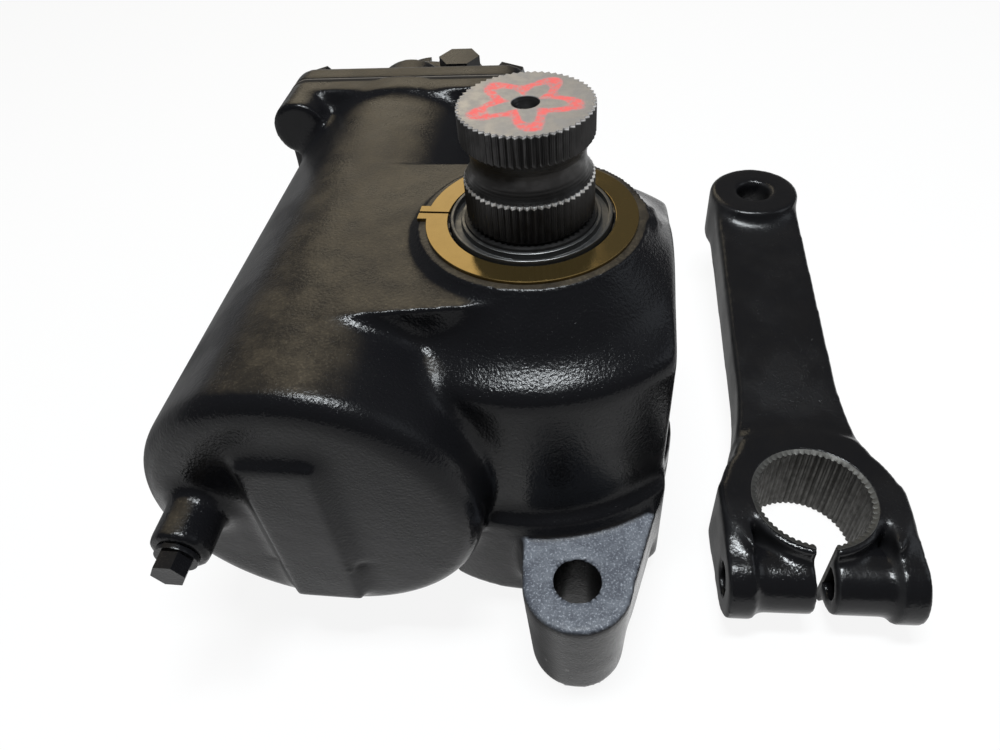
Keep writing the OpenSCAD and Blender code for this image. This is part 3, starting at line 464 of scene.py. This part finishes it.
def edgesOf(mesh):
    flat = np.empty(len(mesh.edges) * 2, np.int64)
    mesh.edges.foreach_get("vertices", flat)
    return flat.reshape(-1, 2)


def trianglesOf(mesh):
    mesh.calc_loop_triangles()
    flat = np.empty(len(mesh.loop_triangles) * 3, np.int64)
    mesh.loop_triangles.foreach_get("vertices", flat)
    return flat.reshape(-1, 3)


def vertexNormals(points, triangles):
    first, second, third = (points[triangles[:, k]] for k in range(3))
    facing = np.cross(second - first, third - first)
    normals = np.zeros_like(points)
    for corner in range(3):
        for axis in range(3):
            normals[:, axis] += np.bincount(triangles[:, corner], facing[:, axis], len(points))
    return normals / np.maximum(np.linalg.norm(normals, axis=1), 1e-9)[:, None]


# evens out a skin; outer edges give way by the share crisp, and inner corners fill fully
def relax(points, edges, weight, rounds, triangles=None, crisp=1.0):
    count = len(points)
    start, end = edges[:, 0], edges[:, 1]
    degree = np.bincount(start, minlength=count) + np.bincount(end, minlength=count)
    pull = (weight * relaxStep)[:, None]
    for _ in range(rounds):
        total = np.stack([
            np.bincount(start, points[end, k], count) + np.bincount(end, points[start, k], count)
            for k in range(3)], axis=1)
        move = total / degree[:, None] - points
        if triangles is not None:
            normals = vertexNormals(points, triangles)
            inward = np.minimum(np.einsum("ij,ij->i", move, normals), 0)
            move = move - (1 - crisp) * inward[:, None] * normals
        points = points + pull * move
    return points


def fromAxis(points, centre, axis):
    axis = np.array(axis, float) / np.linalg.norm(axis)
    offset = points - np.array(centre)
    along = offset @ axis
    spoke = offset - along[:, None] * axis
    return along, np.linalg.norm(spoke, axis=1), spoke


def fade(values, start, full):
    return np.clip((values - start) / (full - start), 0, 1)


def roundHold(points, centre, axis, radius, low, high, band=holdBand):
    along, distance, _ = fromAxis(points, centre, axis)
    return (np.abs(distance - radius) < band) & (along > low) & (along < high)


def setRadius(points, chosen, centre, axis, radius):
    _, distance, spoke = fromAxis(points, centre, axis)
    scale = (radius / np.maximum(distance, 1e-6) - 1)[:, None]
    return points + np.where(chosen[:, None], spoke * scale, 0)


# sets the skin's points and marks its hollows, which are full at the given depth
def storeSkin(mesh, points, edges, depth, paintedSheen=None):
    mesh.vertices.foreach_set("co", (points * mm).ravel())
    mesh.update()
    normals = np.empty(len(points) * 3)
    mesh.vertices.foreach_get("normal", normals)
    smooth = relax(points, edges, np.ones(len(points)), hollowRounds)
    bulge = np.einsum("ij,ij->i", points - smooth, normals.reshape(-1, 3)) / depth
    hollow = mesh.attributes.new("hollow", "FLOAT", "POINT")
    hollow.data.foreach_set("value", np.clip(-bulge, 0, 1).astype(np.float32))
    # the mask of the painted sheen on the ears is kept as a point attribute
    if paintedSheen is not None:
        sheenLayer = mesh.attributes.new("paintedSheen", "FLOAT", "POINT")
        sheenLayer.data.foreach_set("value", paintedSheen.astype(np.float32))
    mesh.polygons.foreach_set("use_smooth", np.ones(len(mesh.polygons), bool))
    mesh.update()


def addPiece(mesh, name, body, material, slot, *replaced):
    piece = bpy.data.objects.new(name, mesh)
    bpy.context.scene.collection.objects.link(piece)
    mesh.materials.clear()
    mesh.materials.append(material)
    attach(piece, body)
    if replaced:
        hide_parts(*replaced)


housingSkin = {
    "voxel": 1.3,
    "even": 4,  # rounds that take the steps out of the mesh
    "fillets": 60,  # rounds that fill the inner corners
    "crisp": 0.12,  # share by which outer edges give way
    "hard": 0.1,  # the same for flat machined faces
    "bore": 0.12,  # room added around the bores
    "boreFrom": -95.0,
    "endRoom": 5.0,
    "coverRim": 16.0,
    "holeReach": 60.0,
    "earTop": 58.0,
    "earFrom": 70.0,  # the ears lie beyond this, fore and aft
    "earBand": 1.0,
    # the painted-sheen mask, from none to full: facing up, and heights above and below earTop
    "sheenFacing": (0.45, 0.75),
    "sheenAbove": (0.6, 0.1),
    "sheenBelow": (-1.4, -0.6),
    "bossRise": 4.5,  # of the boss above the pad
    "padHalf": 61.0,
    "padRight": 5.0,
    "padBand": 0.7,
    "hollowDepth": 1.2,
}


def makeHousing():
    mesh = evenMesh("gear_housing", "castHousing", housingSkin["voxel"])
    points, edges, triangles = pointsOf(mesh), edgesOf(mesh), trianglesOf(mesh)
    up, along = (0, 0, 1), (0, 1, 0)
    shaft, rack = (0, 0, 0), (rackX, 0, rackZ)
    coverFace = boxOf("side_cover_gasket")[1][2]
    chamberTop = boxOf("trunnion_bearing")[0][2]
    chamberRadius = boxOf("side_cover")[1][0] - housingSkin["coverRim"]
    bearingRadius = boxOf("trunnion_bearing")[1][0]
    backFace = boxOf("valve_gasket")[0][1]
    reach = housingSkin["holeReach"]
    rounds = []
    for name in ("front_ear_hole", "rear_ear_hole"):
        rounds.append((mountAt(name), up, mountRadius(name), -reach, reach, 0))
    rounds.append((shaft, up, chamberRadius, coverFace - 1, chamberTop, housingSkin["bore"]))
    rounds.append((shaft, up, bearingRadius, chamberTop, bossFace, housingSkin["bore"]))
    # the rack's bore is set last, so that its edges clear the piston
    rounds.append((rack, along, boreRadius, housingSkin["boreFrom"], backFace + 2, housingSkin["bore"]))
    weight = np.ones(len(points))
    kept = []
    for centre, axis, radius, low, high, room in rounds:
        chosen = roundHold(points, centre, axis, radius, low, high)
        kept.append((chosen, centre, axis, radius + room))
        weight[chosen] = 0
    # the closed end of the bore stays clear of the piston's travel
    _, fromRack, _ = fromAxis(points, rack, along)
    boreEnd = pistonLow[1] - rackTravel - housingSkin["endRoom"]
    weight[(fromRack < boreRadius + holdBand) & (points[:, 1] > boreEnd)] = 0
    flats = ((2, 0.0), (2, bossFace), (1, backFace), (2, coverFace))
    level = [(axis, value, np.abs(points[:, axis] - value) < faceBand) for axis, value in flats]
    x, y, z = points.T
    padFace = bossFace - housingSkin["bossRise"]
    onEar = np.abs(z - housingSkin["earTop"]) < housingSkin["earBand"]
    onEar &= np.abs(y) > housingSkin["earFrom"]
    onPad = (np.abs(z - padFace) < housingSkin["padBand"]) & (np.abs(y) < housingSkin["padHalf"])
    onPad &= (x > rackX) & (x < housingSkin["padRight"])
    onBoss = np.abs(z - bossFace) < faceBand
    points = relax(points, edges, weight, housingSkin["even"])
    weight[onEar | onPad | onBoss] *= housingSkin["hard"]
    points = relax(points, edges, weight, housingSkin["fillets"], triangles, housingSkin["crisp"])
    for chosen, centre, axis, radius in kept:
        points = setRadius(points, chosen, centre, axis, radius)
    for axis, value, chosen in level:
        near = chosen & (np.abs(points[:, axis] - value) < faceReach)
        points[near, axis] = value
    # the ears' upper faces get a painted sheen: grey colour and glints standing in for a reflection
    above = points[:, 2] - housingSkin["earTop"]
    paintedSheen = fade(vertexNormals(points, triangles)[:, 2], *housingSkin["sheenFacing"])
    paintedSheen *= fade(above, *housingSkin["sheenAbove"]) * fade(above, *housingSkin["sheenBelow"])
    paintedSheen[np.abs(points[:, 1]) < housingSkin["earFrom"]] = 0
    storeSkin(mesh, points, edges, housingSkin["hollowDepth"], paintedSheen)
    addPiece(mesh, "castHousing", "housing", housingPaint, "black_paint", "gear_housing")


print("pieces: cast housing")
makeHousing()

valveSkin = {
    "voxel": 1.3,
    "even": 4,
    "fillets": 30,
    "crisp": 0.15,
    "boreHold": 37.5,  # nothing moves within this radius
    "portDepth": 40.0,
    "portLip": 2.0,
    "hollowDepth": 1.0,
}


def makeValveHousing():
    mesh = evenMesh("valve_housing", "castValveHousing", valveSkin["voxel"])
    points, edges = pointsOf(mesh), edgesOf(mesh)
    frontFace = boxOf("valve_housing")[0][1]
    _, distance, _ = fromAxis(points, (rackX, 0, rackZ), (0, 1, 0))
    weight = np.where(distance < valveSkin["boreHold"], 0.0, 1.0)
    for name in ("pressure_port", "return_port"):
        axis, radius = mounts[name]["axis"], mountRadius(name)
        depth, lip = valveSkin["portDepth"], valveSkin["portLip"]
        weight[roundHold(points, mountAt(name), axis, radius, -depth, lip)] = 0
    onFront = np.abs(points[:, 1] - frontFace) < faceBand
    points = relax(points, edges, weight, valveSkin["even"])
    points = relax(points, edges, weight, valveSkin["fillets"], trianglesOf(mesh), valveSkin["crisp"])
    points[onFront, 1] = frontFace
    storeSkin(mesh, points, edges, valveSkin["hollowDepth"])
    addPiece(mesh, "castValveHousing", "housing", housingPaint, "black_paint", "valve_housing")


print("pieces: valve housing")
makeValveHousing()

coverSkin = {"voxel": 1.2, "even": 6, "bushHold": 32.0, "hollowDepth": 1.0}


def makeSideCover():
    mesh = evenMesh("side_cover", "castSideCover", coverSkin["voxel"])
    points, edges = pointsOf(mesh), edgesOf(mesh)
    _, distance, _ = fromAxis(points, (0, 0, 0), (0, 0, 1))
    rimTop = boxOf("side_cover_gasket")[0][2]
    weight = np.where((distance < coverSkin["bushHold"]) | (points[:, 2] > rimTop - 1), 0.0, 1.0)
    points = relax(points, edges, weight, coverSkin["even"])
    storeSkin(mesh, points, edges, coverSkin["hollowDepth"])
    addPiece(mesh, "castSideCover", "housing", housingPaint, "black_paint", "side_cover")


print("pieces: side cover")
makeSideCover()

armSkin = {
    "voxel": 1.1,
    "even": 6,
    "fillets": 130,
    "crisp": 0.1,
    "lugFrom": -20.0,  # behind this the pinch lugs keep more of their edges
    "lugSoft": 0.3,
    "boreSoft": 0.15,
    "pinchReach": 60.0,
    "pinchBand": 1.4,
    "flare": 5.5,
    "flareFrom": 33.0,
    "flareLength": 40.0,
    "flareStart": (8.0, 10.0),  # begins so far before flareFrom, and grows over this length
    "flareSide": 22.0,
    "footBand": 0.6,
    "hollowDepth": 1.0,
}
armBore = {
    "radius": 27.4,  # of the wall behind the teeth
    "overlap": 0.15,
    "mouth": 0.9,
    "mouthLip": 0.3,
    "endInset": 0.05,
    "fit": 0.2,
    "teeth": 58,
    "toothDepth": 0.85,
    "toothSteps": 6,
    "slotWidth": 8.0,
}


def makeArm():
    mesh = evenMesh("pitman_arm", "forgedArm", armSkin["voxel"])
    points, edges = pointsOf(mesh), edgesOf(mesh)
    clamp, pinch = mountAt("arm_clamp"), mountAt("arm_pinch_bolt")
    up = (0, 0, 1)
    ahead = np.array((-math.sin(armTurn), math.cos(armTurn), 0))
    across = np.array((math.cos(armTurn), math.sin(armTurn), 0))
    _, distance, _ = fromAxis(points, clamp, up)
    wall = distance < armBore["radius"]
    weight = np.ones(len(points))
    weight[(points - clamp) @ ahead < armSkin["lugFrom"]] = armSkin["lugSoft"]
    weight[wall] = armSkin["boreSoft"]
    pinchAxis, pinchRadius = mounts["arm_pinch_bolt"]["axis"], mountRadius("arm_pinch_bolt")
    reach = armSkin["pinchReach"]
    weight[roundHold(points, pinch, pinchAxis, pinchRadius, -reach, reach, armSkin["pinchBand"])] = 0
    points = relax(points, edges, weight, armSkin["even"])
    points = relax(points, edges, weight, armSkin["fillets"], trianglesOf(mesh), armSkin["crisp"])
    # the shank widens in a curve towards the clamp
    along, aside = (points - clamp) @ ahead, (points - clamp) @ across
    before, growth = armSkin["flareStart"]
    left = np.clip(1 - (along - armSkin["flareFrom"]) / armSkin["flareLength"], 0, 1)
    root = np.clip((along - armSkin["flareFrom"] + before) / growth, 0, 1)
    push = armSkin["flare"] * left ** 2 * root * np.clip(aside / armSkin["flareSide"], -1, 1)
    points = points + push[:, None] * across
    _, distance, _ = fromAxis(points, clamp, up)
    points = setRadius(points, wall | (distance < armBore["radius"]), clamp, up, armBore["radius"])
    points[np.abs(points[:, 2]) < armSkin["footBand"], 2] = 0
    storeSkin(mesh, points, edges, armSkin["hollowDepth"])
    addPiece(mesh, "forgedArm", "arm", armPaint, "arm_paint", "pitman_arm")


# serrated bore of the arm's clamp, a split ring with chamfered mouths
def makeArmBore():
    clamp = mountAt("arm_clamp")
    low, high = armBore["endInset"], clamp[2] - armBore["endInset"]
    lowMouth, highMouth = armBore["mouth"], clamp[2] - armBore["mouth"]
    rootRadius = shaftRadius + armBore["fit"]
    tipRadius = rootRadius - armBore["toothDepth"]
    outer = armBore["radius"] + armBore["overlap"]
    lip = outer - armBore["mouthLip"]
    halfSlot = math.asin(armBore["slotWidth"] / 2 / tipRadius)
    start, end = armTurn - math.pi / 2 + halfSlot, armTurn + 1.5 * math.pi - halfSlot
    steps = armBore["teeth"] * armBore["toothSteps"]
    shape = bmesh.new()
    rows = []
    for i in range(steps + 1):
        angle = start + (end - start) * i / steps
        phase = (angle - armTurn) / math.tau * armBore["teeth"] % 1.0
        share = min(1.0, max(0.0, 1.5 - 3 * abs(phase - 0.5)))  # flat-topped tooth
        inner = rootRadius + (tipRadius - rootRadius) * share
        profile = (
            (lip, low), (inner, lowMouth), (inner, highMouth), (lip, high), (outer, high), (outer, low))
        row = []
        for r, z in profile:
            x, y = clamp[0] + r * math.cos(angle), clamp[1] + r * math.sin(angle)
            row.append(shape.verts.new((x, y, z)))
        rows.append(row)
    ring = len(rows[0])
    for first, second in zip(rows, rows[1:]):
        for k in range(ring):
            nextK = (k + 1) % ring
            shape.faces.new((first[k], first[nextK], second[nextK], second[k]))
    shape.faces.new(rows[0][::-1])
    shape.faces.new(rows[-1])
    for vert in shape.verts:
        vert.co *= mm
    bmesh.ops.recalc_face_normals(shape, faces=shape.faces)
    mesh = bpy.data.meshes.new("armBoreTeeth")
    shape.to_mesh(mesh)
    shape.free()
    addPiece(mesh, "armBoreTeeth", "arm", boreSteel, "shaft_steel")


print("pieces: pitman arm")
makeArm()
makeArmBore()

# machined pieces keep their solids, with edge breaks of the given width
machined = {
    "sector_shaft": (shaftSteel, 0.3),
    "dust_ring": (yellowPlate, 0.2),
    "output_seal": (sealSteel, 0.3),
    "side_cover_bolts": (boltPaint, 0.5),
    "sector_adjuster": (blackSteel, 0.5),
    "adjuster_locknut": (boltPaint, 0.4),
    "port_plug": (boltPaint, 0.6),
    "valve_bolts": (boltPaint, 0.8),
    "relief_valve_cap": (boltPaint, 0.7),
    "bearing_adjuster": (boltPaint, 0.6),
    "adjuster_lock_ring": (boltPaint, 0.6),
    "input_shaft": (groundSteel, 0.25),
    "input_dust_boot": (sealRubber, 0.6),
    "valve_gasket": (gasketFibre, 0.1),
    "side_cover_gasket": (gasketFibre, 0.1),
}
# these are hidden in the gear, and keep their edges
innerPieces = {
    "trunnion_bearing": groundSteel,
    "trunnion_rollers": groundSteel,
    "side_cover_bush": bearingBronze,
    "worm_bearing": groundSteel,
    "input_bearing": groundSteel,
    "input_seal": sealRubber,
    "adjuster_retainer": blackSteel,
    "rack_piston": groundSteel,
    "piston_ring": ringPlastic,
    "recirculating_balls": groundSteel,
    "ball_return_guides": groundSteel,
    "guide_clip": groundSteel,
    "worm_shaft": groundSteel,
    "valve_sleeve": groundSteel,
    "sleeve_rings": ringPlastic,
    "torsion_bar": blackSteel,
    "torsion_bar_pin": blackSteel,
}
edgeBreak = {"segments": 2, "fromAngle": 32}


def finishNode(node, material, edge=0.0):
    piece = nodes[node]
    piece.data.materials.clear()
    piece.data.materials.append(material)
    if edge:
        weld = piece.modifiers.new("weld", "WELD")
        weld.merge_threshold = weldGap * mm
        soften = piece.modifiers.new("edgeBreak", "BEVEL")
        soften.width = edge * mm
        soften.segments = edgeBreak["segments"]
        soften.limit_method = "ANGLE"
        soften.angle_limit = math.radians(edgeBreak["fromAngle"])


print("pieces: machined parts and fasteners")
for node, (material, edge) in machined.items():
    finishNode(node, material, edge)
for node, material in innerPieces.items():
    finishNode(node, material)

# floor, light and camera; sizes and places in metres
studio = {
    "floorWhite": 0.92,
    "floorLift": 0.9,
    "floorSize": 14.0,
    "floorDrop": 0.0002,
    "paperScale": 900.0,
    "paperTone": 0.01,
    "paperRough": 0.8,
    "paperShine": 0.1,
    "roomGrey": (0.1, 0.098, 0.095, 1),
    "aim": (0.0, 0.02, 0.09),
}
lamps = {  # place, size, power, colour
    "keyLamp": ((0.02, -0.08, 1.15), (0.46, 0.13), 15.0, (0.92, 0.97, 1.0)),
    "backLamp": ((-0.34, 1.05, 0.77), (0.62, 0.7), 2.25, (1.0, 0.87, 0.64)),
    "sideLamp": ((0.9, 0.1, 0.7), (0.5, 0.5), 0.8, (0.86, 0.93, 1.0)),
}


def makeFloor():
    shape = bmesh.new()
    bmesh.ops.create_grid(shape, x_segments=1, y_segments=1, size=studio["floorSize"] / 2)
    mesh = bpy.data.meshes.new("floor")
    shape.to_mesh(mesh)
    shape.free()
    floor = bpy.data.objects.new("floor", mesh)
    floor.location.z = -studio["floorDrop"]
    bpy.context.scene.collection.objects.link(floor)
    material, tree, shader = newMaterial(
        "floorPaper", Specular_IOR_Level=studio["paperShine"], Roughness=studio["paperRough"])
    fleck = noise(tree, objectPlace(tree), studio["paperScale"])
    tone = ramp(tree, fleck, 0.3, 0.7, studio["floorWhite"] - studio["paperTone"], studio["floorWhite"])
    paper = addNode(tree, "ShaderNodeCombineColor")
    for socket in paper.inputs:
        plug(tree, tone, socket)
    plug(tree, paper.outputs[0], shader.inputs["Base Color"])
    # seen straight on or mirrored in the part, the paper is lifted towards white
    seen = addNode(tree, "ShaderNodeLightPath").outputs
    share = calc(tree, "ADD", seen["Is Camera Ray"], seen["Is Glossy Ray"], clamp=True)
    share = calc(tree, "ADD", share, seen["Is Transmission Ray"], clamp=True)
    white = addNode(tree, "ShaderNodeEmission")
    mixed = addNode(tree, "ShaderNodeMixShader")
    plug(tree, calc(tree, "MULTIPLY", share, studio["floorLift"]), mixed.inputs[0])
    tree.links.new(shader.outputs[0], mixed.inputs[1])
    tree.links.new(white.outputs[0], mixed.inputs[2])
    tree.links.new(mixed.outputs[0], tree.nodes["Material Output"].inputs["Surface"])
    mesh.materials.append(material)


def makeWorld():
    world = bpy.data.worlds.new("studioWorld")
    bpy.context.scene.world = world
    world.use_nodes = True
    world.node_tree.nodes["Background"].inputs["Color"].default_value = studio["roomGrey"]


def addLamp(name, place, size, power, color):
    lamp = bpy.data.lights.new(name, "AREA")
    lamp.shape = "RECTANGLE"
    lamp.size, lamp.size_y = size
    lamp.energy = power
    lamp.color = color
    holder = bpy.data.objects.new(name, lamp)
    holder.location = place
    holder.rotation_euler = (Vector(studio["aim"]) - Vector(place)).to_track_quat("-Z", "Y").to_euler()
    bpy.context.scene.collection.objects.link(holder)


photoView = {
    "place": (28.955, -254.812, 331.727),
    "right": (0.99093, 0.11307, -0.07268),
    "up": (-0.03066, 0.71659, 0.69682),
    "ahead": (-0.13087, 0.68827, -0.71356),
    "focalPixels": 748.35,
    "imageWidth": 1000,
    "sensorWidth": 36.0,
    "clip": (0.01, 50.0),  # metres
}


def makeCamera():
    data = bpy.data.cameras.new("photoCamera")
    data.sensor_width = photoView["sensorWidth"]
    data.lens = photoView["focalPixels"] * photoView["sensorWidth"] / photoView["imageWidth"]
    data.clip_start, data.clip_end = photoView["clip"]
    camera = bpy.data.objects.new("photoCamera", data)
    columns = [Vector(photoView["right"]), Vector(photoView["up"]), -Vector(photoView["ahead"])]
    turn = Matrix(columns).transposed().to_4x4()
    camera.matrix_world = Matrix.Translation(Vector(photoView["place"]) * mm) @ turn
    bpy.context.scene.collection.objects.link(camera)
    bpy.context.scene.camera = camera


print("studio: floor, lights, camera")
makeFloor()
makeWorld()
for name, values in lamps.items():
    addLamp(name, *values)
makeCamera()
bpy.context.scene.view_settings.view_transform = "Standard"
